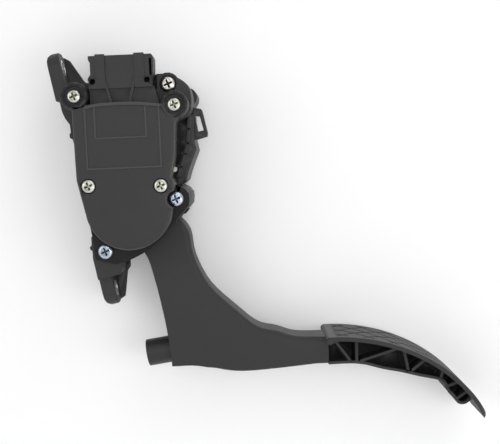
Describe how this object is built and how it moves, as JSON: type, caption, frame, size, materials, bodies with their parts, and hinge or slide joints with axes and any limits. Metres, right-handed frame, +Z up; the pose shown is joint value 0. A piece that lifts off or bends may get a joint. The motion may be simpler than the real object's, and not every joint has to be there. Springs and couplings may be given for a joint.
{
  "type": "accelerator pedal sensor",
  "caption": "Sprung accelerator pedal with a moulded arm and ribbed pad, pivoting in a bulkhead housing that carries a covered position sensor and plug socket.",
  "frame": {"origin": "midway between the two mounting holes, on the bulkhead face", "axes": "+X away from the bulkhead, +Y across the car, +Z up the bulkhead face towards the plug socket"},
  "size_m": [0.2061, 0.0632, 0.2664],
  "materials": {
    "housing_plastic": "fine moulded grain",
    "cover_plastic": "fine spark-eroded grain",
    "arm_plastic": "fine moulded grain",
    "plunger_plastic": "smooth satin",
    "natural_plastic": "smooth satin",
    "seal_rubber": "matte",
    "board": "lacquered",
    "chip": "matte",
    "terminal_metal": "tinned",
    "magnet": "sintered",
    "bush_metal": "turned",
    "steel": "bright zinc",
    "spring_steel": "oiled",
    "screw_zinc": "yellowish zinc"
  },
  "bodies": {
    "housing": {"housing_front": "housing_plastic", "housing_rear": "housing_plastic", "sensor_cover": "cover_plastic", "cover_seal": "seal_rubber", "circuit_board": "board", "sensor_chips": "chip", "terminals": "terminal_metal", "bush_front": "bush_metal", "bush_rear": "bush_metal", "return_spring_outer": "spring_steel", "return_spring_inner": "spring_steel", "spring_seat": "natural_plastic", "stop_pad": "seal_rubber", "mount_sleeve_upper": "steel", "mount_sleeve_lower": "steel", "cover_screws": "screw_zinc", "housing_screws": "steel", "locating_pin": "natural_plastic"},
    "pedal": {"pedal_arm": "arm_plastic", "pivot_shaft": "steel", "shaft_clip": "steel", "rotor": "natural_plastic", "rotor_magnet": "magnet", "friction_shoe": "natural_plastic", "kickdown_spring": "spring_steel"},
    "plunger": {"kickdown_plunger": "plunger_plastic"}
  },
  "joints": [
    {"name": "pedal_hinge", "type": "hinge", "parent": "housing", "child": "pedal", "pos_m": [0.031, 0, -0.021], "axis": [0, 1, 0], "range_deg": [0, 14], "stiffness_Nm_per_rad": 11, "springref_deg": -18.91, "deforming": ["return_spring_outer", "return_spring_inner"]},
    {"name": "kickdown_slide", "type": "slide", "parent": "pedal", "child": "plunger", "axis": [0.9987, 0, -0.0506], "range_m": [0, 0.006], "stiffness_N_per_m": 4000, "springref_m": -0.006, "deforming": ["kickdown_spring"]}
  ]
}
